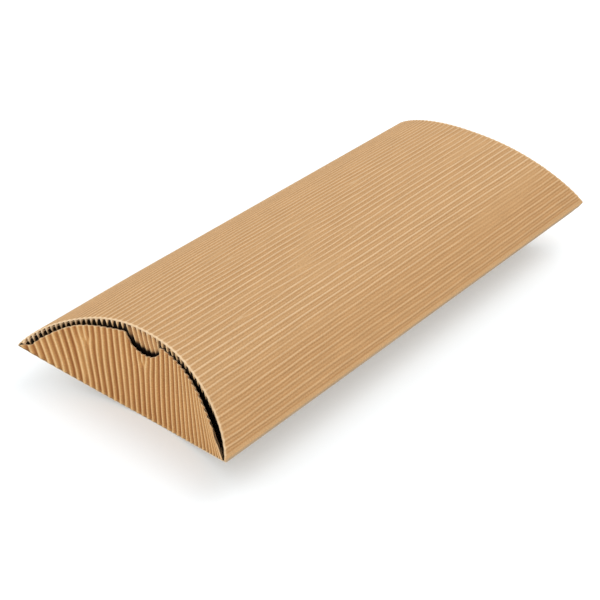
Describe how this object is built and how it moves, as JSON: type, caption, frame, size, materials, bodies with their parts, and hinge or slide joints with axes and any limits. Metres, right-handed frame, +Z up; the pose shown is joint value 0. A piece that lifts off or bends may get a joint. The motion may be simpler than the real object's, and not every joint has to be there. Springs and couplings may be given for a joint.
{
  "type": "pillow box",
  "caption": "Corrugated kraft pillow box with curved end creases, nested tuck flaps and thumb notches.",
  "frame": {"origin": "middle of the box's underside, on the surface that it lies on", "axes": "+Y along the flutes from the front end to the back end, +Z up through the top panel"},
  "size_m": [0.13, 0.31, 0.0545],
  "materials": {
    "kraft_flutes": "unbleached fluted kraft",
    "kraft_liner": "smooth unbleached kraft",
    "glue": "dried white glue"
  },
  "bodies": {
    "box": {"bottom_panel_flutes": "kraft_flutes", "bottom_panel_liner": "kraft_liner", "top_panel_flutes": "kraft_flutes", "top_panel_liner": "kraft_liner", "glue_flap_flutes": "kraft_flutes", "glue_flap_liner": "kraft_liner", "glue_line": "glue"},
    "front_outer_flap": {"front_outer_flap_flutes": "kraft_flutes", "front_outer_flap_liner": "kraft_liner"},
    "front_inner_flap": {"front_inner_flap_flutes": "kraft_flutes", "front_inner_flap_liner": "kraft_liner"},
    "back_outer_flap": {"back_outer_flap_flutes": "kraft_flutes", "back_outer_flap_liner": "kraft_liner"},
    "back_inner_flap": {"back_inner_flap_flutes": "kraft_flutes", "back_inner_flap_liner": "kraft_liner"}
  },
  "joints": [
    {"name": "front_outer_flap_fold", "type": "hinge", "parent": "box", "child": "front_outer_flap", "pos_m": [0, -0.1299, 0], "axis": [1, 0, 0], "range_deg": [0, 75]},
    {"name": "front_inner_flap_fold", "type": "hinge", "parent": "box", "child": "front_inner_flap", "pos_m": [0, -0.1346, 0.0545], "axis": [-1, 0, 0], "range_deg": [0, 90]},
    {"name": "back_outer_flap_fold", "type": "hinge", "parent": "box", "child": "back_outer_flap", "pos_m": [0, 0.1299, 0], "axis": [-1, 0, 0], "range_deg": [0, 75]},
    {"name": "back_inner_flap_fold", "type": "hinge", "parent": "box", "child": "back_inner_flap", "pos_m": [0, 0.1346, 0.0545], "axis": [1, 0, 0], "range_deg": [0, 90]}
  ],
  "couplings": [
    {"joint": "front_inner_flap_fold", "follows": "front_outer_flap_fold", "ratio": 1.2},
    {"joint": "back_inner_flap_fold", "follows": "back_outer_flap_fold", "ratio": 1.2}
  ]
}
